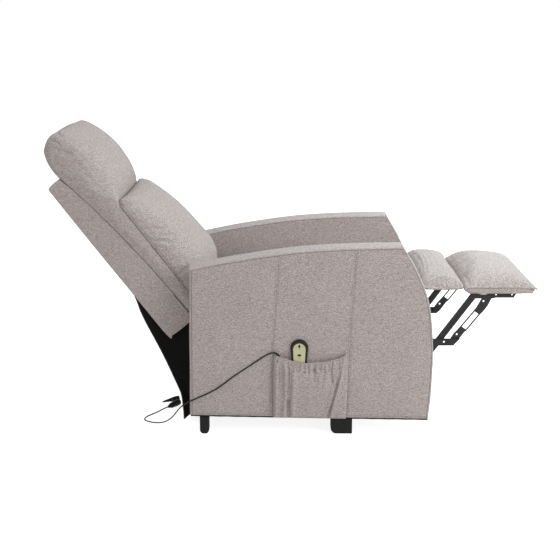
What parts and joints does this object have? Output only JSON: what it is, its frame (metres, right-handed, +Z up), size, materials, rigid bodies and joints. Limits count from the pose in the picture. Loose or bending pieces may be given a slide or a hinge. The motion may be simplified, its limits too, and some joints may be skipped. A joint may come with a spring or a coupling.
{
  "type": "lift recliner chair",
  "caption": "Upholstered lift recliner chair, reclined with its footrest out: motorised lift base, folding legrest linkage, hinged back, side pocket with a corded handset.",
  "frame": {"origin": "on the floor under the middle of the whole chair, reclined and with its footrest out", "axes": "+Z up, the sitter faces -Y, X across the chair with the sitter's right at -X"},
  "size_m": [0.7475, 1.6494, 1.0138],
  "materials": {
    "upholstery": "woven taupe-grey melange",
    "skirt_cloth": "black lining, upholstery cloth outside",
    "foot_plastic": "matte black",
    "timber": "bare softwood and plywood",
    "webbing": "elastic webbing",
    "motor_plastic": "matte black",
    "handset_black": "satin black",
    "handset_face": "pale cream, semi-gloss",
    "button_rubber": "matte",
    "cord_rubber": "matte black",
    "bright_steel": "zinc plated",
    "black_steel": "black powder coat"
  },
  "bodies": {
    "base": {"base_outer_rails": "black_steel", "base_inner_rails": "black_steel", "base_cross_tubes": "black_steel", "front_feet": "foot_plastic", "rear_feet": "foot_plastic", "base_brackets": "black_steel", "base_pivot_pins": "bright_steel", "lift_motor_housing": "motor_plastic", "lift_motor_tube": "black_steel"},
    "front_links": {"front_lift_links": "black_steel", "front_lift_shaft": "black_steel", "front_link_pins": "bright_steel"},
    "rear_links": {"rear_lift_links": "black_steel", "rear_link_pins": "bright_steel"},
    "lift_frame": {"lift_frame": "black_steel"},
    "lift_rod": {"lift_rod": "bright_steel"},
    "chassis": {"seat_side_plates": "black_steel", "seat_pivot_pins": "bright_steel", "seat_cross_tubes": "black_steel", "seat_rails": "timber", "seat_front_rail": "timber", "seat_straps": "webbing", "seat_cushion": "upholstery", "arm_left": "upholstery", "arm_right": "upholstery", "legrest_motor_rail": "black_steel", "legrest_motor_housing": "motor_plastic", "seat_hinge_leaf": "black_steel", "handset_body": "handset_black", "handset_face": "handset_face", "handset_pocket": "upholstery", "handset_cord": "cord_rubber", "cord_plug": "cord_rubber", "cord_socket": "cord_rubber"},
    "back": {"back_shell": "upholstery", "back_cushion": "upholstery", "head_pillow": "upholstery", "back_brackets": "black_steel", "rear_skirt": "skirt_cloth"},
    "legrest_drive": {"drive_links": "black_steel", "torque_tube": "black_steel", "drive_link_rivets": "black_steel"},
    "legrest_lower": {"lower_links": "black_steel", "lower_link_rivets": "black_steel"},
    "rear_bars": {"rear_ottoman_bars": "black_steel", "rear_bar_rivets": "black_steel"},
    "front_bars": {"front_ottoman_bars": "black_steel", "front_bar_rivets": "black_steel"},
    "front_ottoman": {"front_ottoman_board": "timber", "front_ottoman_cushion": "upholstery", "foot_brackets": "black_steel"},
    "mid_ottoman": {"mid_ottoman_board": "timber", "mid_ottoman_cushion": "upholstery", "mid_hinge_leaf": "black_steel"},
    "trolley": {"legrest_trolley": "motor_plastic"},
    "button_up": {"button_up": "button_rubber"},
    "button_down": {"button_down": "button_rubber"}
  },
  "joints": [
    {"name": "lift", "type": "hinge", "parent": "base", "child": "front_links", "pos_m": [0, -0.224, 0.062], "axis": [1, 0, 0], "range_deg": [0, 65]},
    {"name": "rear_link_swing", "type": "hinge", "parent": "base", "child": "rear_links", "pos_m": [0, 0.051, 0.062], "axis": [1, 0, 0], "range_deg": [0, 65]},
    {"name": "lift_frame_level", "type": "hinge", "parent": "front_links", "child": "lift_frame", "pos_m": [0, 0.00251, 0.10194], "axis": [1, 0, 0], "range_deg": [-65, 0]},
    {"name": "seat_tilt", "type": "hinge", "parent": "lift_frame", "child": "chassis", "pos_m": [0, -0.244, 0.10194], "axis": [1, 0, 0], "range_deg": [0, 26.1]},
    {"name": "lift_rod_slide", "type": "slide", "parent": "base", "child": "lift_rod", "axis": [0, -1, 0], "range_m": [0, 0.0753]},
    {"name": "recline", "type": "hinge", "parent": "chassis", "child": "back", "pos_m": [0, 0.27411, 0.39512], "axis": [1, 0, 0], "range_deg": [0, 25]},
    {"name": "legrest", "type": "hinge", "parent": "chassis", "child": "legrest_drive", "pos_m": [0, -0.308, 0.306], "axis": [1, 0, 0], "range_deg": [0, 90]},
    {"name": "lower_link_swing", "type": "hinge", "parent": "chassis", "child": "legrest_lower", "pos_m": [0, -0.27567, 0.26151], "axis": [1, 0, 0], "range_deg": [0, 90]},
    {"name": "rear_bar_swing", "type": "hinge", "parent": "legrest_drive", "child": "rear_bars", "pos_m": [0, -0.501, 0.284], "axis": [1, 0, 0], "range_deg": [-90, 0]},
    {"name": "front_bar_swing", "type": "hinge", "parent": "legrest_drive", "child": "front_bars", "pos_m": [0, -0.551, 0.284], "axis": [1, 0, 0], "range_deg": [-90, 0]},
    {"name": "front_ottoman_tip", "type": "hinge", "parent": "rear_bars", "child": "front_ottoman", "pos_m": [0, -0.618, 0.445], "axis": [1, 0, 0], "range_deg": [0, 90]},
    {"name": "mid_ottoman_fold", "type": "hinge", "parent": "chassis", "child": "mid_ottoman", "pos_m": [0, -0.425, 0.467], "axis": [1, 0, 0], "range_deg": [0, 90]},
    {"name": "trolley_slide", "type": "slide", "parent": "chassis", "child": "trolley", "axis": [0, 1, 0], "range_m": [0, 0.0849]},
    {"name": "button_up_press", "type": "slide", "parent": "chassis", "child": "button_up", "axis": [1, 0, 0], "range_m": [0, 0.001], "stiffness_N_per_m": 400},
    {"name": "button_down_press", "type": "slide", "parent": "chassis", "child": "button_down", "axis": [1, 0, 0], "range_m": [0, 0.001], "stiffness_N_per_m": 400}
  ],
  "couplings": [
    {"joint": "rear_link_swing", "follows": "lift", "ratio": 1},
    {"joint": "lift_frame_level", "follows": "lift", "ratio": -1},
    {"joint": "seat_tilt", "follows": "lift", "ratio": 0.4},
    {"joint": "lift_rod_slide", "follows": "lift", "m_per_rad": 0.0663},
    {"joint": "lower_link_swing", "follows": "legrest", "ratio": 1},
    {"joint": "rear_bar_swing", "follows": "legrest", "ratio": -1},
    {"joint": "front_bar_swing", "follows": "legrest", "ratio": -1},
    {"joint": "front_ottoman_tip", "follows": "legrest", "ratio": 1},
    {"joint": "mid_ottoman_fold", "follows": "legrest", "ratio": 1},
    {"joint": "trolley_slide", "follows": "legrest", "m_per_rad": 0.054}
  ]
}
